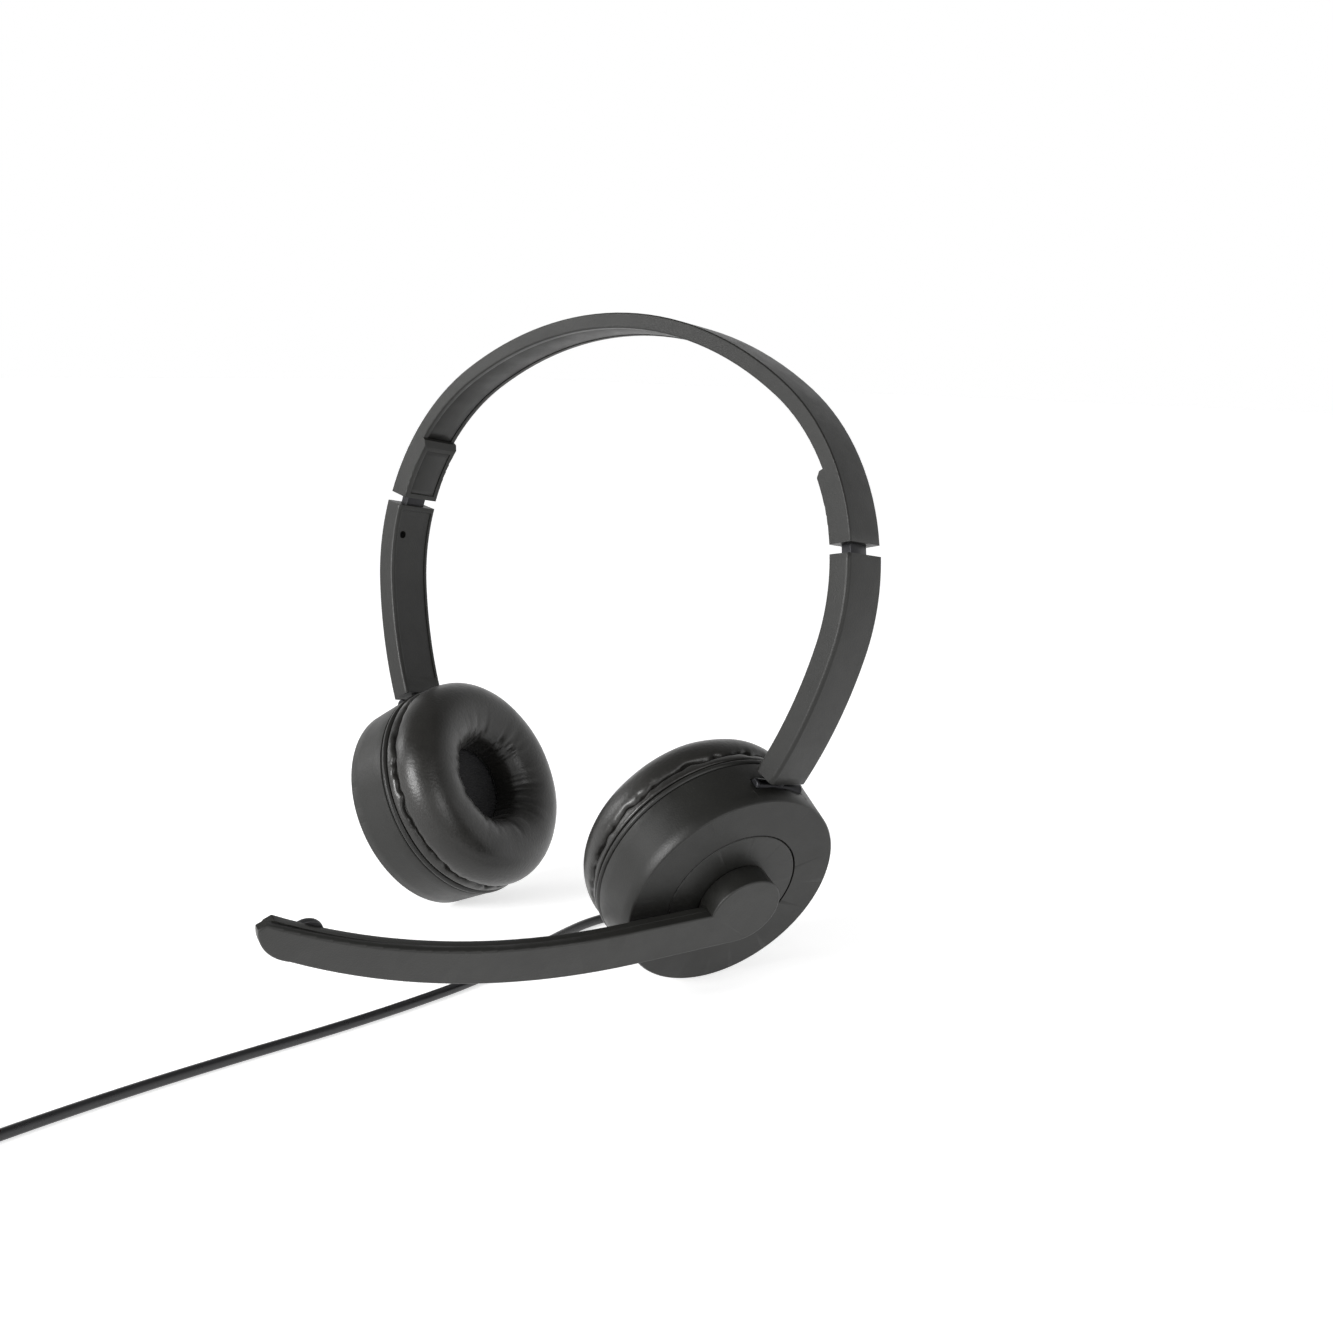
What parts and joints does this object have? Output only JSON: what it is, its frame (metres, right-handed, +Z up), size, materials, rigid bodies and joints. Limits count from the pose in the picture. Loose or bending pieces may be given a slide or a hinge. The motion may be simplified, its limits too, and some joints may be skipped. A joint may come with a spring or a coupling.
{
  "type": "office headset",
  "caption": "Wired office headset: slim arched headband, sliding arms, tilting round cups with leatherette cushions, a turning boom microphone, and a thin lead wound to a USB plug.",
  "frame": {"origin": "on the surface it stands on, under the middle of the headset's own box, cord left out", "axes": "+X to the side with the boom (the right cup), -Y to the front where the boom points, +Z up; the arch leans back 9 degrees"},
  "size_m": [0.1866, 0.2987, 0.1839],
  "materials": {
    "body_plastic": "fine moulded texture",
    "trim_plastic": "fine moulded texture",
    "inner_plastic": "satin moulded",
    "boom_plastic": "satin moulded",
    "slider_steel": "blackened steel strip",
    "spring_steel": "bright spring steel",
    "dark_metal": "blackened",
    "magnet": "nickel plated",
    "diaphragm": "thin film",
    "ear_fabric": "fine knit",
    "leatherette": "soft semi-gloss leatherette",
    "soft_rubber": "satin",
    "cord_jacket": "smooth semi-gloss",
    "plug_steel": "nickel plated",
    "plug_tongue": "smooth",
    "capsule": "plain"
  },
  "bodies": {
    "headband": {"headband_shell": "body_plastic", "headband_liner": "inner_plastic", "right_slider_plate": "inner_plastic", "left_slider_plate": "inner_plastic", "right_detent_spring": "spring_steel", "left_detent_spring": "spring_steel"},
    "right_arm": {"right_slider": "slider_steel", "right_slider_rivet": "dark_metal", "right_arm_shell": "body_plastic", "right_arm_cover": "inner_plastic", "right_arm_screw": "dark_metal"},
    "right_yoke": {"right_yoke": "dark_metal"},
    "right_cup": {"right_cup_housing": "body_plastic", "right_cup_disc": "trim_plastic", "right_cup_ring": "trim_plastic", "right_cup_baffle": "inner_plastic", "right_baffle_screws": "dark_metal", "right_driver_basket": "inner_plastic", "right_driver_magnet": "magnet", "right_driver_diaphragm": "diaphragm", "right_ear_fabric": "ear_fabric", "right_ear_cushion": "leatherette", "cord_strain_relief": "soft_rubber", "cord": "cord_jacket", "cord_coil": "cord_jacket", "cord_tie": "soft_rubber", "cord_tail": "cord_jacket", "usb_plug_body": "soft_rubber", "usb_plug_shell": "plug_steel", "usb_plug_tongue": "plug_tongue"},
    "left_arm": {"left_slider": "slider_steel", "left_slider_rivet": "dark_metal", "left_arm_shell": "body_plastic", "left_arm_cover": "inner_plastic", "left_arm_screw": "dark_metal"},
    "left_yoke": {"left_yoke": "dark_metal"},
    "left_cup": {"left_cup_housing": "body_plastic", "left_cup_disc": "trim_plastic", "left_cup_ring": "trim_plastic", "left_cup_baffle": "inner_plastic", "left_baffle_screws": "dark_metal", "left_driver_basket": "inner_plastic", "left_driver_magnet": "magnet", "left_driver_diaphragm": "diaphragm", "left_ear_fabric": "ear_fabric", "left_ear_cushion": "leatherette"},
    "boom": {"boom_outer_shell": "boom_plastic", "boom_inner_cover": "boom_plastic", "boom_spindle": "dark_metal", "boom_friction_washer": "soft_rubber", "boom_clip": "spring_steel", "microphone_capsule": "capsule", "microphone_boot": "soft_rubber"}
  },
  "joints": [
    {"name": "right_slider", "type": "hinge", "parent": "headband", "child": "right_arm", "pos_m": [0.02846, 0.06449, 0.11093], "axis": [0, 0.9877, -0.1564], "range_deg": [-2.2, 13]},
    {"name": "left_slider", "type": "hinge", "parent": "headband", "child": "left_arm", "pos_m": [-0.02846, 0.06449, 0.11093], "axis": [0, 0.9877, -0.1564], "range_deg": [-13, 2.2]},
    {"name": "right_swivel", "type": "hinge", "parent": "right_arm", "child": "right_yoke", "pos_m": [0.07316, 0.05622, 0.05868], "axis": [0.4825, 0.137, 0.8651], "range_deg": [-2, 23]},
    {"name": "left_swivel", "type": "hinge", "parent": "left_arm", "child": "left_yoke", "pos_m": [-0.07316, 0.05622, 0.05867], "axis": [-0.4801, 0.1372, 0.8664], "range_deg": [-19.25, 4.75]},
    {"name": "right_tilt", "type": "hinge", "parent": "right_yoke", "child": "right_cup", "pos_m": [0.07316, 0.05622, 0.05868], "axis": [-0.147, -0.961, 0.2342], "range_deg": [-12, 12]},
    {"name": "left_tilt", "type": "hinge", "parent": "left_yoke", "child": "left_cup", "pos_m": [-0.07316, 0.05622, 0.05867], "axis": [0.0973, -0.9733, 0.2081], "range_deg": [-12, 12]},
    {"name": "boom_turn", "type": "hinge", "parent": "right_cup", "child": "boom", "pos_m": [0.06348, 0.05127, 0.02718], "axis": [0.8635, -0.2402, -0.4435], "range_deg": [-190, 80]}
  ]
}
